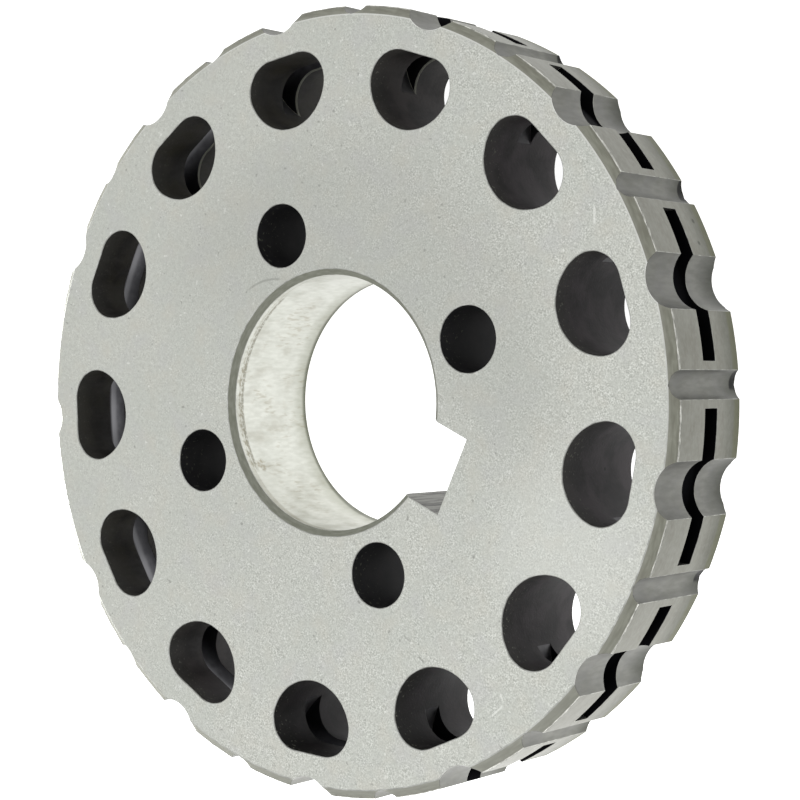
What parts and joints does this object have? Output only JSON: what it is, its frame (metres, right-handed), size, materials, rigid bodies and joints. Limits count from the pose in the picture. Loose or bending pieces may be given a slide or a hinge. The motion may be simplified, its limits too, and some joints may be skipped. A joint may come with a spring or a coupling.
{
  "type": "chain sprocket",
  "caption": "Flat steel drive sprocket for a tanged cutting chain, with slotted rim pockets, D-shaped windows, a keyed bore and bolt holes.",
  "frame": {"origin": "centre of the bore on the back face", "axes": "+Z along the bore out of the front face, +X through the middle of the keyway"},
  "size_m": [0.0783, 0.0784, 0.0125],
  "materials": {
    "blasted_steel": "bead-blasted faces, turned rim and bore"
  },
  "bodies": {
    "root": {"sprocket": "blasted_steel"}
  },
  "joints": []
}
